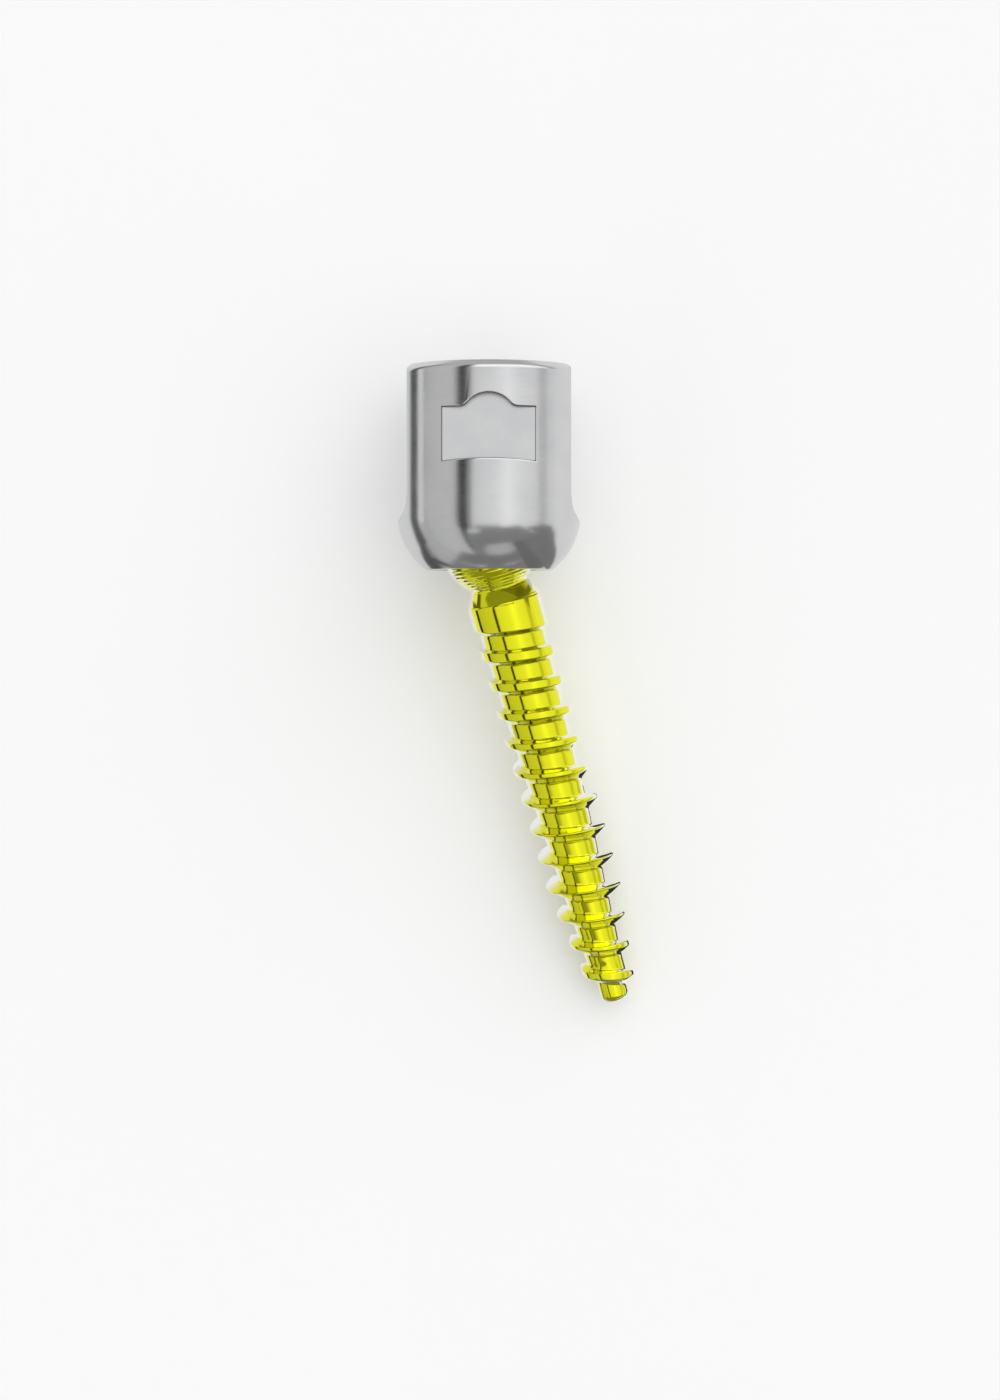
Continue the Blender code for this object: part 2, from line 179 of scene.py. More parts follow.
# Visual form of the ball's ribs: share of the CAD model's depth, and how narrow the grooves are
RIB_DEPTH_SHARE = 1.1
RIB_NARROWING = 1.4

# The clear oxide film of the anodised screw, whose gloss turns white towards a grazing view
FILM_ROUGHNESS = 0.05
FILM_IOR = 1.22
FILM_GLOSS_START = 0.5
FILM_GLOSS_FULL = 0.66
FILM_GLOSS = (0.95, 0.95, 0.9, 1)
MARK_HEIGHT = 0.000004

# Camera: the photograph's frame is 1000 x 1400 pixels
FRAME_LONG_SIDE = 1400
CAMERA_DISTANCE = 0.24
SENSOR_WIDTH = 36
PIXELS_PER_METRE = 12500
VIEW_CENTRE = (-0.0014, -0.00093)
EYE_POINT = (-0.0014, 0.0028)

# Studio: (degrees from straight up across the part, brightness)
WORLD_BANDS = (
    (-180, 0.35), (-104, 0.35), (-91, 0.35), (-84, 0.64), (-52, 0.7), (-40.5, 0.72), (-37.5, 0.03),
    (-31.5, 0.02), (-28.5, 0.8), (-13, 0.9), (8, 0.96), (24, 1.18), (40, 0.98), (63, 0.9),
    (68, 0.62), (75, 0.62), (80, 0.88), (100, 0.85), (180, 0.35),
)
WORLD_STRENGTH = 2
FOOT_LAMP = (0.192, -0.894, 0.403)
FLOOR_SIZE = 1.5
FLOOR_GAP = 0.00002
FLOOR_GLOW = 0.2

# Standing cards: name, shade, one end on the floor, the other, lower and upper edge at each end
CARDS = (
    ("side_card", 0.1, (-0.0235, 0.06), (-0.0235, 0.0076), (0.0034, 0.0089), (0.0034, 0.0089)),
    ("left_card", 0.1, (-0.0235, 0.0076), (-0.0135, 0.0076), (0.0034, 0.0089), (0.007, 0.0104)),
    ("left_bowl_card", 0.12, (-0.0135, 0.0076), (-0.0063, 0.0076), (0.007, 0.0104), (0.005, 0.0108)),
    ("mouth_card", 0.28, (-0.0063, 0.0084), (0.0013, 0.0084), (0.0101, 0.0125), (0.0101, 0.0125)),
    ("neck_card", 0.2, (0.0013, 0.0084), (0.003, 0.0084), (0.0098, 0.016), (0.0085, 0.016)),
    ("right_bowl_card", 0.24, (0.003, 0.0084), (0.0085, 0.0084), (0.0058, 0.016), (0.0095, 0.016)),
    ("upper_bowl_card", 0.28, (-0.005, 0.0084), (0.0085, 0.0084), (0.016, 0.0245), (0.016, 0.0245)),
    ("right_card", 0.25, (0.0085, 0.0084), (0.02, 0.0084), (0.0095, 0.021), (0.0125, 0.018)),
    ("far_left_card", 0.6, (-0.09, 0), (-0.09, -0.062), (0, 0.014), (0, 0.014)),
    ("left_foot_card", 0.6, (-0.09, -0.062), (-0.04, -0.062), (0, 0.014), (0, 0.014)),
    ("screw_side_card", 0.03, (-0.0114, 0.0052), (-0.0004, -0.0284), (0.0063, 0.0081), (0.0001, 0.0015)),
    ("foot_card", 0.25, (-0.04, -0.06), (0.09, -0.06), (0, 0.03), (0, 0.03)),
    ("head_card", 0.6, (-0.12, 0.058), (0.12, 0.058), (0, 0.02), (0, 0.02)),
)

# Sheets: name, shade, height, corners
SHEETS = (
    ("foot_sheet", 0.25, 0.0001, ((-0.005, -0.027), (-0.005, -0.062), (0.013, -0.062), (0.013, -0.027))),
    ("right_sheet", 0.6, 0.0002, ((0.016, -0.006), (0.022, -0.062), (0.09, -0.062), (0.09, -0.012))),
    (
        "bowl_sheet", 0.42, 0.0305,
        ((-0.0095, 0.0028), (0.0035, 0.0028), (0.0035, 0.0075), (-0.0095, 0.0075)),
    ),
    (
        "bright_strip", 0.84, 0.0001,
        ((-0.0005, -0.0031), (0.0069, -0.0295), (0.0037, -0.0304), (-0.0037, -0.004)),
    ),
    (
        "dark_strip", 0.03, 0.00015,
        ((0.0062, -0.008), (0.0088, -0.0168), (0.0103, -0.0164), (0.0076, -0.0076)),
    ),
    (
        "dark_strip_end", 0.03, 0.00015,
        ((0.0088, -0.0168), (0.0107, -0.0284), (0.0133, -0.0278), (0.0103, -0.0164)),
    ),
    (
        "grey_sheet", 0.55, 0.00005,
        ((-0.09, -0.008), (-0.09, -0.062), (-0.009, -0.062), (-0.009, -0.008)),
    ),
    ("soft_gap", 0.36, 0.0304, ((-0.0199, 0.0035), (-0.01, 0.0035), (-0.01, 0.06), (-0.0199, 0.06))),
    ("dark_gap", 0.03, 0.03, ((-0.0172, 0.0035), (-0.0122, 0.0035), (-0.0122, 0.06), (-0.0172, 0.06))),
)

# Soft edges: how far in from the first end, the last end, the lower side and the upper side
FADES = {
    "left_bowl_card": (0, 0.001, 0, 0.0012),
    "mouth_card": (0.0008, 0, 0, 0.0006),
    "upper_bowl_card": (0.0012, 0.0012, 0, 0.002),
    "bowl_sheet": (0.001, 0.0006, 0.001, 0.002),
}


def smooth(value, low, high):
    """0 below low, 1 above high, and an even S between them."""
    part = min(max((value - low) / (high - low), 0), 1)
    return part * part * (3 - 2 * part)


def arc(centre, radius, start, end, steps):
    """Points on a circle from one angle to another, both ends included."""
    angles = [start + (end - start) * i / steps for i in range(steps + 1)]
    return [(centre[0] + radius * math.cos(a), centre[1] + radius * math.sin(a)) for a in angles]


def linked(name, data):
    """A new object in the scene."""
    made = bpy.data.objects.new(name, data)
    bpy.context.collection.objects.link(made)
    return made


def object_from(name, points, faces, materials):
    mesh = bpy.data.meshes.new(name)
    mesh.from_pydata(points, [], faces)
    mesh.validate()
    for material in materials:
        mesh.materials.append(material)
    return linked(name, mesh)


def revolved(name, profile, facets, materials):
    """A closed (radius, height) profile turned about Z into one ring-shaped solid."""
    count = len(profile)
    points = []
    for i in range(facets):
        angle = 2 * math.pi * i / facets
        points += [(r * math.cos(angle), r * math.sin(angle), z) for r, z in profile]
    faces = []
    for i in range(facets):
        here = i * count
        following = (i + 1) % facets * count
        for j in range(count):
            k = (j + 1) % count
            faces.append((here + j, here + k, following + k, following + j))
    return object_from(name, points, faces, materials)


def add_prism(mesh, outline, matrix, depth):
    """Adds an outline, placed by the matrix and drawn out along its Z, to a mesh of tools."""
    base = [mesh.verts.new(matrix @ Vector((x, y, 0))) for x, y in outline]
    face = mesh.faces.new(base)
    extruded = bmesh.ops.extrude_face_region(mesh, geom=[face])
    lifted = [v for v in extruded["geom"] if isinstance(v, bmesh.types.BMVert)]
    bmesh.ops.translate(mesh, verts=lifted, vec=matrix.to_3x3() @ Vector((0, 0, depth)))


def closed_object(name, mesh, material):
    """Turns a finished bmesh into an object."""
    bmesh.ops.recalc_face_normals(mesh, faces=mesh.faces)
    data = bpy.data.meshes.new(name)
    mesh.to_mesh(data)
    mesh.free()
    data.materials.append(material)
    return linked(name, data)


def apply_modifiers(piece):
    """Keeps the mesh that the modifiers make, without the modifiers."""
    graph = bpy.context.evaluated_depsgraph_get()
    done = bpy.data.meshes.new_from_object(piece.evaluated_get(graph))
    old = piece.data
    piece.modifiers.clear()
    piece.data = done
    done.name = piece.name
    bpy.data.meshes.remove(old)


def cut(piece, tools, solver="EXACT"):
    """Takes the tools away from the piece, and removes them from the scene."""
    for tool in tools:
        boolean = piece.modifiers.new(tool.name, "BOOLEAN")
        boolean.operation = "DIFFERENCE"
        boolean.solver = solver
        boolean.material_mode = "TRANSFER"
        boolean.object = tool
    apply_modifiers(piece)
    for tool in tools:
        bpy.data.objects.remove(tool, do_unlink=True)


def break_edges(piece, width, wide=None, wide_width=0):
    """Rounds the outer machined edges, more where two materials of the given pair meet."""
    mesh = bmesh.new()
    mesh.from_mesh(piece.data)
    layer = mesh.edges.layers.float.new("bevel_weight_edge")
    most = max(width, wide_width)
    for edge in mesh.edges:
        if not edge.is_convex or edge.calc_face_angle(0) < SHARP_ANGLE:
            continue
        meeting = {face.material_index for face in edge.link_faces}
        edge[layer] = (wide_width if meeting == wide else width) / most
    mesh.to_mesh(piece.data)
    mesh.free()
    bevel = piece.modifiers.new("edge_break", "BEVEL")
    bevel.width = most
    bevel.segments = 3
    bevel.limit_method = "WEIGHT"
    bevel.use_clamp_overlap = False
    bevel.miter_outer = "MITER_ARC"
    apply_modifiers(piece)


def even_shading(piece):
    """Smooth shading that stays flat on the large faces and sharp at what edges are left."""
    piece.data.shade_smooth()
    piece.data.set_sharp_from_angle(angle=SMOOTH_ANGLE)
    weighting = piece.modifiers.new("even_shading", "WEIGHTED_NORMAL")
    weighting.keep_sharp = True
    apply_modifiers(piece)


def turned_normal(point):
    """The outward normal of the receiver's turned outside nearest to a point, and its distance."""
    across = math.hypot(point.x, point.y)
    side = Vector((point.x, point.y, 0)) / across
    if point.z > BOWL_TOP:
        return side, across - TULIP_RADIUS
    centre = TULIP_RADIUS - BOWL_RADIUS
    tilt = math.atan2(point.z - BOWL_TOP, across - centre)
    reach = math.hypot(across - centre, point.z - BOWL_TOP)
    return side * math.cos(tilt) + Vector((0, 0, math.sin(tilt))), reach - BOWL_RADIUS


def true_normals(piece):
    """Gives the receiver's turned outside the normals of its profile, whatever is cut into it."""
    mesh = piece.data
    near = 0.00001
    alike = 0.999
    normals = [corner.vector.copy() for corner in mesh.corner_normals]
    for face in mesh.polygons:
        outward, gap = turned_normal(face.center)
        if abs(gap) > near or face.normal.dot(outward) < alike:
            continue
        for corner in face.loop_indices:
            at = mesh.vertices[mesh.loops[corner].vertex_index].co
            normals[corner] = turned_normal(at)[0]
    mesh.normals_split_custom_set(normals)


def place(piece, matrix):
    """Moves the mesh, not the object, so that the object's origin stays at the model's origin."""
    piece.data.transform(matrix)
    piece.data.update()


# Turn an outline drawn in X and Y upright, to be drawn out through an arm or along the rod
ALONG_ARM = Matrix(((1, 0, 0, 0), (0, 0, -1, 0), (0, 1, 0, 0), (0, 0, 0, 1)))
ALONG_ROD = Matrix(((0, 0, 1, 0), (1, 0, 0, 0), (0, 1, 0, 0), (0, 0, 0, 1)))


def u_outline(half_width, floor, top):
    round_part = arc((0, floor + half_width), half_width, math.pi, 2 * math.pi, SLOT_STEPS)
    return round_part + [(half_width, top), (-half_width, top)]


def slot_tool(material):
    mesh = bmesh.new()
    length = 2 * (TULIP_RADIUS + CUTTER_REACH)
    matrix = Matrix.Translation((-length / 2, 0, 0)) @ ALONG_ROD
    add_prism(mesh, u_outline(SLOT_WIDTH / 2, SLOT_FLOOR, TULIP_TOP + CUTTER_REACH), matrix, length)
    return closed_object("slot_tool", mesh, material)


def flats_tool(material):
    mesh = bmesh.new()
    flat = TULIP_FLATS / 2
    bite = TULIP_RADIUS - flat
    rise = math.sqrt(RUNOUT_RADIUS ** 2 - (RUNOUT_RADIUS - bite) ** 2)
    centre = (flat + RUNOUT_RADIUS, RIDGE_HEIGHT + rise)
    top = TULIP_TOP + CUTTER_REACH
    outline = arc(centre, RUNOUT_RADIUS, math.pi, math.pi + math.radians(60), RUNOUT_STEPS)
    outline += [(centre[0], outline[-1][1]), (centre[0], top), (flat, top)]
    depth = 2 * (TULIP_RADIUS + CUTTER_REACH)
    for side in (1, -1):
        matrix = Matrix.Translation((0, depth / 2, 0)) @ ALONG_ARM
        add_prism(mesh, [(side * x, z) for x, z in outline], matrix, depth)
    return closed_object("flats_tool", mesh, material)


def pocket_outline():
    """Flat sides, an arched lower edge, and an upper edge that rises to a rounded crown."""
    half = POCKET_WIDTH / 2
    sill_radius = (half ** 2 + POCKET_BOTTOM_RISE ** 2) / (2 * POCKET_BOTTOM_RISE)
    sill_centre = (0, POCKET_BOTTOM + POCKET_BOTTOM_RISE - sill_radius)
    spread = math.asin(half / sill_radius)
    sill = arc(sill_centre, sill_radius, math.pi / 2 + spread, math.pi / 2 - spread, SILL_STEPS)
    shoulder = POCKET_BOTTOM + POCKET_HEIGHT
    crown = (0, shoulder + POCKET_CROWN_RISE - POCKET_CROWN_RADIUS)
    fillet_height = shoulder + POCKET_FILLET
    reach = POCKET_CROWN_RADIUS + POCKET_FILLET
    lean = math.asin((fillet_height - crown[1]) / reach)
    fillet_x = reach * math.cos(lean)
    fillet = (fillet_x, fillet_height)
    right = arc(fillet, POCKET_FILLET, 1.5 * math.pi, math.pi + lean, POCKET_FILLET_STEPS)
    over = arc(crown, POCKET_CROWN_RADIUS, lean, math.pi - lean, POCKET_CROWN_STEPS)
    left = [(-x, z) for x, z in reversed(right)]
    return right + over[1:-1] + left + [(-half, shoulder)] + sill + [(half, shoulder)]


def pocket_tool(material, shaded_wall_material):
    mesh = bmesh.new()
    floor = TULIP_RADIUS - POCKET_DEPTH
    for turn in (0, math.pi):
        matrix = Matrix.Rotation(turn, 4, "Z") @ Matrix.Translation((0, -floor, 0)) @ ALONG_ARM
        add_prism(mesh, pocket_outline(), matrix, POCKET_DEPTH + CUTTER_REACH)
    # Painted shade: the walls take the second, darker material, standing in for the shade inside the
    # pocket.
    for face in mesh.faces:
        face.material_index = 0 if len(face.verts) > 4 else 1
    tool = closed_object("pocket_tool", mesh, material)
    tool.data.materials.append(shaded_wall_material)
    return tool


def lock_thread_tool(material):
    """A plug that leaves the locking screw's thread in the arms, above a plain relief groove."""
    facets = LOCK_FACETS
    inner = BORE_RADIUS - LOCK_BORE_OVERLAP
    outer = BORE_RADIUS + LOCK_DEPTH
    low = LOCK_START
    high = TULIP_TOP + CUTTER_REACH
    section = tuple(zip(LOCK_FLANKS, (inner, outer, outer, inner)))
    turns = range(math.floor(low / LOCK_PITCH) - 2, math.ceil(high / LOCK_PITCH) + 2)
    points = []
    for i in range(facets + 1):
        angle = 2 * math.pi * i / facets
        points.append((outer * math.cos(angle), outer * math.sin(angle), low))
        for whole in turns:
            for part, radius in section:
                height = (whole + part + i / facets) * LOCK_PITCH
                if height < low + LOCK_RELIEF:
                    radius = outer
                elif height > high:
                    radius = inner
                height = min(max(height, low + LOCK_RELIEF), high)
                points.append((radius * math.cos(angle), radius * math.sin(angle), height))
    count = len(turns) * len(section) + 1
    faces = []
    for i in range(facets):
        for j in range(count - 1):
            here = i * count + j
            faces.append((here, here + count, here + count + 1, here + 1))
    mesh = bmesh.new()
    verts = [mesh.verts.new(p) for p in points]
    bottom = mesh.verts.new((0, 0, low))
    top = mesh.verts.new((0, 0, high))
    for face in faces:
        mesh.faces.new([verts[k] for k in face])
    for i in range(facets):
        mesh.faces.new((verts[(i + 1) * count], verts[i * count], bottom))
        mesh.faces.new((verts[i * count + count - 1], verts[(i + 1) * count + count - 1], top))
    bmesh.ops.remove_doubles(mesh, verts=mesh.verts, dist=1e-7)
    bmesh.ops.dissolve_degenerate(mesh, dist=1e-7, edges=mesh.edges)
    return closed_object("lock_thread_tool", mesh, material)


def make_tulip(turned, milled, shaded_wall):
    bowl_centre = (TULIP_RADIUS - BOWL_RADIUS, BOWL_TOP)
    bowl_end = math.asin((BOWL_TOP + TULIP_DROP) / BOWL_RADIUS)
    mouth = BALL_RADIUS + MOUTH_CLEARANCE
    throat = BALL_RADIUS + THROAT_CLEARANCE
    groove = RING_RADIUS + GROOVE_CLEARANCE
    groove_top = -RING_DROP + GROOVE_SIDE_CLEARANCE
    groove_bottom = -RING_DROP - RING_HEIGHT - GROOVE_SIDE_CLEARANCE
    shoulder = SADDLE_SKIRT - SHOULDER_GAP
    fillet_height = TULIP_TOP - RIM_CHAMFER - RIM_FILLET * math.tan(math.pi / 8)
    profile = [(TULIP_RADIUS - RIM_CHAMFER, TULIP_TOP)]
    profile += arc((TULIP_RADIUS - RIM_FILLET, fillet_height), RIM_FILLET, math.pi / 4, 0, RIM_STEPS)
    profile += arc(bowl_centre, BOWL_RADIUS, 0, -bowl_end, BOWL_STEPS)
    profile += [
        (mouth, -TULIP_DROP),
        (mouth, groove_bottom),
        (groove, groove_bottom),
        (groove, groove_top),
        (throat, groove_top),
        (throat, shoulder),
        (BORE_RADIUS, shoulder),
        (BORE_RADIUS, TULIP_TOP - BORE_CHAMFER),
        (BORE_RADIUS + BORE_CHAMFER, TULIP_TOP),
    ]
    body = revolved("receiver_body", profile, TULIP_FACETS, [turned, milled, shaded_wall])
    cut(body, (slot_tool(milled), flats_tool(milled), pocket_tool(milled, shaded_wall)))
    break_edges(body, EDGE_BREAK, {0, 2}, POCKET_BREAK)
    for point in body.data.vertices:
        point.co.z = min(point.co.z, TULIP_TOP)
    cut(body, (lock_thread_tool(turned),), "MANIFOLD")
    even_shading(body)
    true_normals(body)
    return body


def make_saddle(turned, milled):
    cup_start = math.asin(SADDLE_SKIRT / CUP_RADIUS)
    cup_end = math.acos(SADDLE_HOLE_RADIUS / CUP_RADIUS)
    top = SADDLE_SEAT + SADDLE_WALL_HEIGHT
    bevel = SADDLE_BORE_CLEARANCE
    profile = arc((0, 0), CUP_RADIUS, cup_start, cup_end, CUP_STEPS)
    profile += [
        (SADDLE_HOLE_RADIUS, top),
        (SADDLE_RADIUS - bevel, top),
        (SADDLE_RADIUS, top - bevel),
        (SADDLE_RADIUS, SADDLE_SKIRT),
    ]
    saddle = revolved("saddle_body", profile, SADDLE_FACETS, [turned, milled])
    mesh = bmesh.new()
    length = 2 * (SADDLE_RADIUS + CUTTER_REACH)
    matrix = Matrix.Translation((-length / 2, 0, 0)) @ ALONG_ROD
    half = ROD_DIAMETER / 2 + ROD_CLEARANCE / 2
    add_prism(mesh, u_outline(half, SADDLE_SEAT, top + CUTTER_REACH), matrix, length)
    cut(saddle, (closed_object("groove_tool", mesh, milled),))
    break_edges(saddle, EDGE_BREAK / 2)
    even_shading(saddle)
    return saddle


def make_ring(material):
    high = -RING_DROP
    low = -RING_DROP - RING_HEIGHT
    ease = EDGE_BREAK
    inside = (math.asin(high / CUP_RADIUS), math.asin(low / CUP_RADIUS))
    section = arc((0, 0), CUP_RADIUS, *inside, RING_STEPS)
    section += [(RING_RADIUS - ease, low), (RING_RADIUS, low + ease)]
    section += [(RING_RADIUS, high - ease), (RING_RADIUS - ease, high)]
    half_gap = math.asin(RING_SPLIT / 2 / RING_RADIUS)
    steps = TULIP_FACETS
    count = len(section)
    points = []
    for i in range(steps + 1):
        angle = half_gap + (2 * math.pi - 2 * half_gap) * i / steps
        points += [(r * math.cos(angle), r * math.sin(angle), z) for r, z in section]
    faces = []
    for i in range(steps):
        for j in range(count):
            k = (j + 1) % count
            near = i * count
            far = near + count
            faces.append((near + k, near + j, far + j, far + k))
    faces.append(tuple(range(count)))
    faces.append(tuple(reversed(range(steps * count, steps * count + count))))
    ring = object_from("ring_body", points, faces, [material])
    even_shading(ring)
    return ring


def core_radius(distance):
    along = min(max((distance - CORE_START) / (CORE_END - CORE_START), 0), 1)
    core = CORE_START_RADIUS - (CORE_START_RADIUS - CORE_END_RADIUS) * along ** CORE_TAPER_POWER
    return core + (STUB_RADIUS - core) * smooth(distance, STUB_STEP_START, STUB_STEP_END)


def crest_radius(distance):
    along = min(max((distance - CREST_TAPER_START) / (CREST_TAPER_END - CREST_TAPER_START), 0), 1)
    return THREAD_RADIUS + (CREST_END_RADIUS - THREAD_RADIUS) * along


def root_radius(distance, outside, depth):
    return min(outside, max(core_radius(distance), outside - depth))


def thread_turn(turn):
    """Corners of the thread's section as (distance, radius, ease, steps), along the helix."""
    crest_at = THREAD_PHASE + THREAD_PITCH * turn
    core = core_radius(crest_at)
    fade = 1 - smooth(turn, THREAD_FADE_TURN, THREAD_LAST_TURN)
    outside = core + (crest_radius(crest_at) - core) * fade
    above = (outside - core) * smooth(turn - 1, GROOVE_FIRST_TURN, GROOVE_FULL_TURN)
    below = (outside - core) * smooth(turn, GROOVE_FIRST_TURN, GROOVE_FULL_TURN)
    upper = above * math.tan(UPPER_FLANK)
    lower = below * math.tan(LOWER_FLANK)
    crest = max(THREAD_BASE - upper - lower, THREAD_LEAST_CREST)
    root_above = crest_at - crest / 2 - upper
    root_below = crest_at + crest / 2 + lower
    return [
        (root_above, root_radius(root_above, outside, above), ROOT_EASE, EASE_STEPS),
        (crest_at - crest / 2, outside, CREST_EASE, EASE_STEPS),
        (crest_at + crest / 2, outside, CREST_EASE, EASE_STEPS),
        (root_below, root_radius(root_below, outside, below), ROOT_EASE, EASE_STEPS),
    ]


def groove_floor(turn):
    """Points on the core between one thread and the next, with the ends' own fillets left clear."""
    upper = thread_turn(turn)[3]
    lower = thread_turn(turn + 1)[0]
    points = []
    for k in range(1, FLOOR_POINTS + 1):
        part = k / (FLOOR_POINTS + 1)
        distance = upper[0] + (lower[0] - upper[0]) * part
        line = upper[1] + (lower[1] - upper[1]) * part
        radius = min(core_radius(distance), line) if distance > CORE_END else line
        points.append((distance, radius, 0, 0))
    return points


def eased(corners):
    """Rounds each inner corner of a line of (distance, radius, ease, steps) with a short curve."""
    line = [corners[0][:2]]
    for before, corner, after in zip(corners, corners[1:], corners[2:]):
        steps = corner[3]
        if steps == 0:
            line.append(corner[:2])
            continue
        at = Vector(corner[:2])
        back = Vector(before[:2]) - at
        ahead = Vector(after[:2]) - at
        reach_back = min(corner[2], back.length * MOST_EASE)
        reach_ahead = min(corner[2], ahead.length * MOST_EASE)
        start = at + back.normalized() * reach_back
        end = at + ahead.normalized() * reach_ahead
        for k in range(steps + 1):
            t = k / steps
            point = start * (1 - t) ** 2 + at * (2 * t * (1 - t)) + end * t ** 2
            line.append(tuple(point))
    line.append(corners[-1][:2])
    return line


def make_screw(material):
    """Ball, neck, collar, threaded shank and tip as one skin."""
    facets = SCREW_FACETS
    mesh = bmesh.new()

    def lobes(angle, grow):
        return DRIVE_RADIUS + grow + DRIVE_LOBE * math.cos(DRIVE_LOBES * angle)

    def ring(distance, radius, grow=0):
        verts = []
        for i in range(facets):
            angle = 2 * math.pi * i / facets
            r = lobes(angle, grow) if radius is None else radius
            verts.append(mesh.verts.new((r * math.cos(angle), r * math.sin(angle), -distance)))
        return verts

    def strip(upper, lower):
        for i in range(facets):
            k = (i + 1) % facets
            mesh.faces.new((upper[i], lower[i], lower[k], upper[k]))

    rings = [
        ring(-BALL_FLAT_HEIGHT + DRIVE_DEPTH, None, -DRIVE_CHAMFER),
        ring(-BALL_FLAT_HEIGHT + DRIVE_DEPTH - DRIVE_CHAMFER, None),
        ring(-BALL_FLAT_HEIGHT + DRIVE_CHAMFER, None),
        ring(-BALL_FLAT_HEIGHT, None, DRIVE_CHAMFER),
    ]
    start = math.acos(BALL_FLAT_HEIGHT / BALL_RADIUS)
    end = math.pi - math.asin(NECK_RADIUS / BALL_RADIUS)
    for i in range(RIB_STEPS * RIB_COUNT + 1):
        angle = start + (end - start) * i / (RIB_STEPS * RIB_COUNT)
        wave = (0.5 - 0.5 * math.cos(2 * math.pi * i / RIB_STEPS)) ** RIB_NARROWING
        radius = BALL_RADIUS - RIB_DEPTH * RIB_DEPTH_SHARE * wave
        rings.append(ring(-radius * math.cos(angle), radius * math.sin(angle)))
    junction = math.sqrt(BALL_RADIUS ** 2 - NECK_RADIUS ** 2)
    neck = [
        (junction, NECK_RADIUS, 0, 0),
        (junction + NECK_LENGTH, NECK_RADIUS, NECK_EASE, EASE_STEPS),
        (COLLAR_START, THREAD_RADIUS - COLLAR_BEVEL, COLLAR_EASE, EASE_STEPS - 1),
        (COLLAR_START + COLLAR_BEVEL, THREAD_RADIUS, 0, 0),
    ]
    rings += [ring(*where) for where in eased(neck)[1:]]
    for upper, lower in zip(rings, rings[1:]):
        strip(upper, lower)
    centre = mesh.verts.new((0, 0, BALL_FLAT_HEIGHT - DRIVE_DEPTH - DRIVE_FLOOR_DIP))
    for i in range(facets):
        mesh.faces.new((centre, rings[0][i], rings[0][(i + 1) % facets]))

    collar_edge = COLLAR_START + COLLAR_BEVEL
    thread_end = SCREW_LENGTH - TIP_ROUND
    first_turn = math.floor((collar_edge - THREAD_PHASE) / THREAD_PITCH) - 2
    last_turn = math.ceil((thread_end - THREAD_PHASE) / THREAD_PITCH) + 1
    columns = []
    for i in range(facets + 1):
        angle = 2 * math.pi * i / facets
        corners = [(collar_edge, THREAD_RADIUS, 0, 0)]
        for whole in range(first_turn, last_turn + 1):
            turn = whole + i / facets + 0.25
            for distance, radius, ease, steps in thread_turn(turn) + groove_floor(turn):
                if distance < collar_edge + COLLAR_BEVEL:
                    corners.append((collar_edge, THREAD_RADIUS, 0, steps))
                elif distance > thread_end - COLLAR_BEVEL:
                    corners.append((thread_end, STUB_RADIUS, 0, steps))
                else:
                    corners.append((distance, radius, ease, steps))
        corners.append((thread_end, STUB_RADIUS, 0, 0))
        cosine = math.cos(angle)
        sine = math.sin(angle)
        column = [mesh.verts.new((r * cosine, r * sine, -d)) for d, r in eased(corners)]
        columns.append(column)
    for here, following in zip(columns, columns[1:]):
        for j in range(len(here) - 1):
            mesh.faces.new((here[j], here[j + 1], following[j + 1], following[j]))

    above = ring(thread_end, STUB_RADIUS)
    for i in range(1, TIP_STEPS):
        angle = math.pi / 2 * i / TIP_STEPS
        below = ring(thread_end + TIP_ROUND * math.sin(angle), STUB_RADIUS * math.cos(angle))
        strip(above, below)
        above = below
    tip = mesh.verts.new((0, 0, -SCREW_LENGTH))
    for i in range(facets):
        mesh.faces.new((above[i], tip, above[(i + 1) % facets]))

    bmesh.ops.remove_doubles(mesh, verts=mesh.verts, dist=2e-7)
    bmesh.ops.dissolve_degenerate(mesh, dist=2e-7, edges=mesh.edges)
    screw = closed_object("screw_body", mesh, material)
    screw.data.shade_smooth()
    screw.data.set_sharp_from_angle(angle=SCREW_SMOOTH_ANGLE)
    return screw


def own_coordinates(piece):
    """Stores the piece's own straight coordinates, in millimetres, for its surface marks."""
    mesh = piece.data
    layer = mesh.attributes.new("own", "FLOAT_VECTOR", "POINT")
    for point, value in zip(mesh.vertices, layer.data):
        value.vector = point.co * 1000


def paint_flank_shade(piece):
    """Marks how far the thread's skin faces the tip, for the painted shade that darkens those flanks."""
    mesh = piece.data
    layer = mesh.attributes.new("flank", "FLOAT", "POINT")
    start = COLLAR_START + 2 * COLLAR_BEVEL
    end = STUB_STEP_START
    blend = 0.0002
    for point, normal, value in zip(mesh.vertices, mesh.vertex_normals, layer.data):
        distance = -point.co.z
        inside = smooth(distance, start, start + blend) * (1 - smooth(distance, end, end + blend))
        value.value = inside * smooth(-normal.vector.z, 0.3, 0.7)


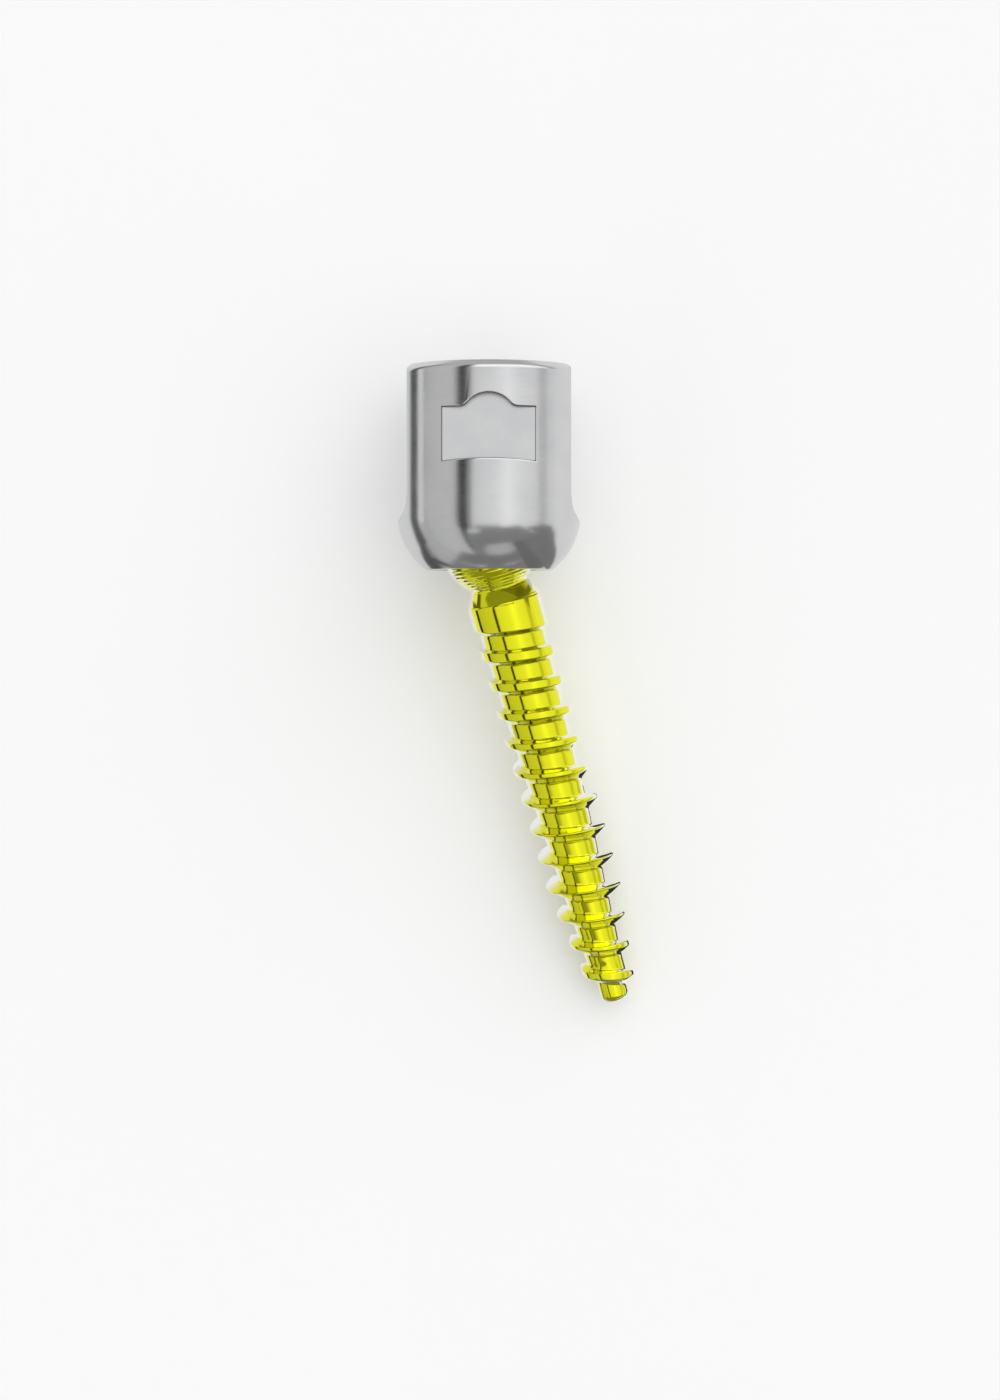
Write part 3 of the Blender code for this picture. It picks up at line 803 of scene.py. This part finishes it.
class Nodes:
    """Short calls for building a node tree."""

    def __init__(self, tree):
        self.tree = tree

    def add(self, kind, **settings):
        node = self.tree.nodes.new(kind)
        for name, value in settings.items():
            setattr(node, name, value)
        return node

    def link(self, source, target):
        self.tree.links.new(source, target)

    def feed(self, node, values):
        """Sets each numbered input to a number, or links it to a node's output."""
        for index, value in enumerate(values):
            if isinstance(value, bpy.types.NodeSocket):
                self.link(value, node.inputs[index])
            else:
                node.inputs[index].default_value = value

    def math(self, operation, *values):
        node = self.add("ShaderNodeMath", operation=operation)
        self.feed(node, values)
        return node.outputs["Value"]

    def rise(self, source, low, high):
        """0 at low and 1 at high, with soft ends."""
        node = self.add("ShaderNodeMapRange", interpolation_type="SMOOTHSTEP")
        self.feed(node, (source, low, high))
        return node.outputs["Result"]

    def span(self, source, low, high):
        """Maps 0.3..0.7 of a noise to low..high."""
        node = self.add("ShaderNodeMapRange")
        self.feed(node, (source, 0.3, 0.7, low, high))
        return node.outputs["Result"]

    def blend(self, factor, first, second):
        node = self.add("ShaderNodeMix", data_type="RGBA")
        for name, value in (("Factor", factor), ("A", first), ("B", second)):
            if isinstance(value, bpy.types.NodeSocket):
                self.link(value, node.inputs[name])
            else:
                node.inputs[name].default_value = value
        return node.outputs["Result"]

    def stretched_noise(self, coordinates, stretch, scale, detail=3):
        """Noise drawn out along the directions whose stretch is small."""
        mapping = self.add("ShaderNodeVectorMath", operation="MULTIPLY")
        self.link(coordinates, mapping.inputs[0])
        mapping.inputs[1].default_value = stretch
        noise = self.add("ShaderNodeTexNoise")
        noise.inputs["Scale"].default_value = scale
        noise.inputs["Detail"].default_value = detail
        self.link(mapping.outputs["Vector"], noise.inputs["Vector"])
        return noise.outputs["Fac"]


def new_material(name):
    material = bpy.data.materials.new(name)
    material.use_nodes = True
    nodes = Nodes(material.node_tree)
    return material, nodes, material.node_tree.nodes["Principled BSDF"]


def machined_metal(name, tones, roughness, marks, mark_scale, bump, flanks=None, film=0):
    """Metal with fine tool marks, mottled from the lighter to the darker of its two tones.

    marks is the stretch of the marks along each own axis. flanks is the tone of the painted shade on the
    thread's flanks that face the tip, and film the weight of a clear coat.
    """
    light, dark = tones
    material, nodes, shader = new_material(name)
    own = nodes.add("ShaderNodeAttribute", attribute_name="own").outputs["Vector"]
    fine = nodes.stretched_noise(own, marks, mark_scale, 4)
    broad = nodes.stretched_noise(own, (1, 1, 1), 0.35, 4)
    grain = nodes.stretched_noise(own, (1, 1, 1), 26, 2)

    mottle = nodes.math("ADD", nodes.span(broad, 0, 0.6), nodes.span(fine, 0, 0.4))
    colour = nodes.blend(mottle, (*dark, 1), (*light, 1))
    # Painted shade: the flanks that face the tip are mixed towards a darker tone, standing in for the
    # shade on them.
    if flanks:
        facing = nodes.add("ShaderNodeAttribute", attribute_name="flank").outputs["Fac"]
        colour = nodes.blend(facing, colour, (*flanks, 1))
    if film:
        edge_on = nodes.add("ShaderNodeLayerWeight")
        edge_on.inputs["Blend"].default_value = 0.5
        gloss = nodes.rise(edge_on.outputs["Facing"], FILM_GLOSS_START, FILM_GLOSS_FULL)
        colour = nodes.blend(gloss, colour, FILM_GLOSS)
    nodes.link(colour, shader.inputs["Base Color"])
    marked = nodes.span(fine, roughness * 0.85, roughness * 1.1)
    nodes.link(nodes.math("ADD", marked, nodes.span(broad, -0.015, 0.02)), shader.inputs["Roughness"])

    relief = nodes.add("ShaderNodeBump")
    relief.inputs["Strength"].default_value = bump
    relief.inputs["Distance"].default_value = MARK_HEIGHT
    nodes.link(nodes.math("MULTIPLY_ADD", grain, 0.35, fine), relief.inputs["Height"])
    nodes.link(relief.outputs["Normal"], shader.inputs["Normal"])
    shader.inputs["Metallic"].default_value = 1
    shader.inputs["Coat Weight"].default_value = film
    shader.inputs["Coat Roughness"].default_value = FILM_ROUGHNESS
    shader.inputs["Coat IOR"].default_value = FILM_IOR
    return material


def floor_material():
    """A plain pale sheet, as bright in reflections as it looks to the camera."""
    material, nodes, shader = new_material("pale_floor")
    path = nodes.add("ShaderNodeLightPath")
    seen = nodes.math("MAXIMUM", path.outputs["Is Camera Ray"], path.outputs["Is Glossy Ray"])
    nodes.link(nodes.math("MULTIPLY", seen, FLOOR_GLOW), shader.inputs["Emission Strength"])
    shader.inputs["Base Color"].default_value = (0.86, 0.86, 0.86, 1)
    shader.inputs["Roughness"].default_value = 0.9
    shader.inputs["Specular IOR Level"].default_value = 0.1
    shader.inputs["Emission Color"].default_value = (1, 1, 1, 1)
    return material


def studio_world():
    """Soft boxes and dark gaps round the object, and an even pale ground for the camera itself."""
    world = bpy.data.worlds.new("soft_studio")
    bpy.context.scene.world = world
    world.use_nodes = True
    nodes = Nodes(world.node_tree)
    background = world.node_tree.nodes["Background"]

    direction = nodes.add("ShaderNodeTexCoord").outputs["Generated"]
    parts = nodes.add("ShaderNodeSeparateXYZ")
    nodes.link(direction, parts.inputs["Vector"])
    lengthwise = parts.outputs["Y"]
    angle = nodes.math("ARCTAN2", parts.outputs["X"], parts.outputs["Z"])
    across = nodes.math("MULTIPLY_ADD", angle, 0.5 / math.pi, 0.5)

    def tone(level):
        part = level / WORLD_STRENGTH
        return (part, part, part, 1)

    bands = nodes.add("ShaderNodeValToRGB")
    nodes.link(across, bands.inputs["Fac"])
    ramp = bands.color_ramp
    while len(ramp.elements) < len(WORLD_BANDS):
        ramp.elements.new(0.5)
    for element, (degrees, level) in zip(ramp.elements, WORLD_BANDS):
        element.position = degrees / 360 + 0.5
    for element, (degrees, level) in zip(ramp.elements, WORLD_BANDS):
        element.color = tone(level)

    right_of_gap = nodes.rise(across, 0.375, 0.44)
    left_of_side = nodes.rise(across, 0.81, 0.74)
    foot = nodes.math("MULTIPLY", nodes.rise(lengthwise, -0.5, -0.6), right_of_gap)
    foot = nodes.math("MULTIPLY", foot, left_of_side)
    toward_lamp = nodes.add("ShaderNodeVectorMath", operation="DOT_PRODUCT")
    nodes.link(direction, toward_lamp.inputs[0])
    toward_lamp.inputs[1].default_value = FOOT_LAMP
    lamp = nodes.rise(toward_lamp.outputs["Value"], 0.945, 0.985)
    foot_tone = nodes.blend(lamp, tone(0.27), tone(0.58))
    lower = nodes.blend(foot, bands.outputs["Color"], foot_tone)

    head = nodes.math("MULTIPLY", nodes.rise(lengthwise, 0.25, 0.5), right_of_gap)
    upper = nodes.blend(head, lower, tone(1.5))
    whole = nodes.blend(nodes.rise(lengthwise, 0.84, 0.97), upper, tone(0.62))

    path = nodes.add("ShaderNodeLightPath")
    shown = nodes.blend(path.outputs["Is Camera Ray"], whole, tone(0.84))
    nodes.link(shown, background.inputs["Color"])
    background.inputs["Strength"].default_value = WORLD_STRENGTH


def faded_steps(length, start_fade, end_fade):
    """(fraction of the length, cover) along one side of a card."""
    steps = [(0, 0), (start_fade / length, 1)] if start_fade else [(0, 1)]
    return steps + ([(1 - end_fade / length, 1), (1, 0)] if end_fade else [(1, 1)])


def card_mesh(name, corners):
    """A four-cornered card, in strips where its edges are soft, and how solid each of its points is."""
    fades = FADES.get(name, (0, 0, 0, 0))
    first, second, third, fourth = [Vector(corner) for corner in corners]
    along = faded_steps((second - first).length, fades[0], fades[1])
    up = faded_steps((fourth - first).length, fades[2], fades[3])
    points = []
    covers = []
    for v, cover_up in up:
        for u, cover_along in along:
            points.append(first.lerp(second, u).lerp(fourth.lerp(third, u), v))
            covers.append(cover_along * cover_up)
    count = len(along)
    faces = []
    for row in range(len(up) - 1):
        for column in range(count - 1):
            low = row * count + column
            faces.append((low, low + 1, low + 1 + count, low + count))
    mesh = bpy.data.meshes.new(name)
    mesh.from_pydata(points, [], faces)
    return mesh, covers


def make_screen(name, shade, corners):
    """A card that only the object's reflections show."""
    material, nodes, shader = new_material(name)
    shader.inputs["Base Color"].default_value = (0, 0, 0, 1)
    shader.inputs["Roughness"].default_value = 1
    shader.inputs["Specular IOR Level"].default_value = 0
    shader.inputs["Emission Color"].default_value = (shade, shade, shade, 1)
    shader.inputs["Emission Strength"].default_value = 1
    mesh, covers = card_mesh(name, corners)
    mesh.materials.append(material)
    if name in FADES:
        layer = mesh.attributes.new("cover", "FLOAT", "POINT")
        for value, cover in zip(layer.data, covers):
            value.value = cover
        mix = nodes.add("ShaderNodeMixShader")
        attribute = nodes.add("ShaderNodeAttribute", attribute_name="cover")
        nodes.link(attribute.outputs["Fac"], mix.inputs[0])
        nodes.link(nodes.add("ShaderNodeBsdfTransparent").outputs["BSDF"], mix.inputs[1])
        nodes.link(shader.outputs["BSDF"], mix.inputs[2])
        output = material.node_tree.nodes["Material Output"]
        nodes.link(mix.outputs["Shader"], output.inputs["Surface"])
    card = linked(name, mesh)
    card.visible_camera = False
    card.visible_diffuse = False
    card.visible_shadow = False


def make_screens():
    for name, shade, start, end, at_start, at_end in CARDS:
        corners = [(*start, at_start[0]), (*end, at_end[0]), (*end, at_end[1]), (*start, at_start[1])]
        make_screen(name, shade, corners)
    for name, shade, height, corners in SHEETS:
        make_screen(name, shade, [(x, y, height) for x, y in corners])


def make_floor():
    """A plain level sheet, a hair below the surface that the screw lies on."""
    size = FLOOR_SIZE
    corners = [(-size, -size, 0), (size, -size, 0), (size, size, 0), (-size, size, 0)]
    mesh = bpy.data.meshes.new("floor")
    mesh.from_pydata(corners, [], [(0, 1, 2, 3)])
    mesh.materials.append(floor_material())
    floor = linked("floor", mesh)
    floor.location = (0, 0, -FLOOR_GAP)


def make_camera():
    """Looks straight down, from over the eye point, shifted so that the frame is the photograph's."""
    data = bpy.data.cameras.new("camera")
    camera = linked("camera", data)
    data.sensor_width = SENSOR_WIDTH
    data.lens = SENSOR_WIDTH * PIXELS_PER_METRE * CAMERA_DISTANCE / FRAME_LONG_SIDE
    frame_size = FRAME_LONG_SIDE / PIXELS_PER_METRE
    data.shift_x = (VIEW_CENTRE[0] - EYE_POINT[0]) / frame_size
    data.shift_y = (VIEW_CENTRE[1] - EYE_POINT[1]) / frame_size
    data.clip_start = 0.01
    data.clip_end = 10
    camera.location = (EYE_POINT[0], EYE_POINT[1], TULIP_RADIUS + CAMERA_DISTANCE)
    bpy.context.scene.camera = camera


def placements():
    """Where the receiver, the ring and the screw lie, from the CAD model's box and tilt joint."""
    low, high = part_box("tulip")
    centre = Vector(((low[0] + high[0]) / 2, high[1] - TULIP_TOP, (low[2] + high[2]) / 2))
    joints = {joint["name"]: joint for joint in frame["record"]["behaviour"]["joints"]}
    axis = joints["swivel_tilt"]["axis"]
    turn = math.atan2(axis[0], axis[2])
    drop = math.atan(math.tan(turn) * math.sin(SIDE_LEAN))
    tilt = math.acos(math.cos(SIDE_LEAN) * math.cos(drop))
    receiver = Matrix.Translation(centre) @ Matrix.Rotation(-math.pi / 2, 4, "X")
    ring = receiver @ Matrix.Rotation(turn, 4, "Z")
    screw = ring @ Matrix.Rotation(-tilt, 4, "Y") @ Matrix.Rotation(-turn, 4, "Z")
    return receiver, ring, screw


def main():
    receiver_place, ring_place, screw_place = placements()
    round_marks = (0.05, 0.05, 1)
    long_marks = (1, 1, 0.04)
    satin = ((0.66, 0.66, 0.665), (0.58, 0.585, 0.595))
    bright = ((0.7, 0.7, 0.7), (0.62, 0.62, 0.63))
    spring = ((0.5, 0.5, 0.51), (0.42, 0.42, 0.43))
    # Painted shade: darker tones for the pocket walls, standing in for the shade inside the pocket.
    shaded = ((0.3, 0.3, 0.305), (0.24, 0.24, 0.245))
    yellow = ((0.86, 0.86, 0.012), (0.8, 0.79, 0.008))
    # Painted shade for the thread's flanks that face the tip
    flank_shade_olive = (0.3, 0.3, 0.004)
    turned = machined_metal("turned_titanium", satin, 0.2, round_marks, 14, 0.22)
    milled = machined_metal("milled_titanium", satin, 0.24, long_marks, 30, 0.08)
    saddle_turned = machined_metal("saddle_titanium", bright, 0.16, round_marks, 14, 0.2)
    saddle_milled = machined_metal("saddle_groove_titanium", bright, 0.18, long_marks, 24, 0.1)
    ring_metal = machined_metal("ring_titanium", spring, 0.26, round_marks, 14, 0.3)
    anodised = machined_metal("yellow_anodised_titanium", yellow, 0.09, round_marks, 12, 0.1, flank_shade_olive, 1)
    shaded_wall = machined_metal("pocket_wall_painted_shade", shaded, 0.32, long_marks, 30, 0.08)
    receiver_body = make_tulip(turned, milled, shaded_wall)
    saddle_body = make_saddle(saddle_turned, saddle_milled)
    ring_body = make_ring(ring_metal)
    screw_body = make_screw(anodised)
    made = (
        (receiver_body, receiver_place, "receiver", "tulip", "receiver"),
        (saddle_body, receiver_place, "receiver", "pressure_saddle", "saddle"),
        (ring_body, ring_place, "ring", "retaining_ring", "ring"),
        (screw_body, screw_place, "screw", "bone_screw", "screw"),
    )
    for piece, matrix, body, node, slot in made:
        own_coordinates(piece)
        if body == "screw":
            paint_flank_shade(piece)
        place(piece, matrix)
        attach(piece, body)
        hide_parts(node)

    make_floor()
    make_screens()
    studio_world()
    make_camera()
    bpy.context.scene.view_settings.view_transform = "Standard"


main()
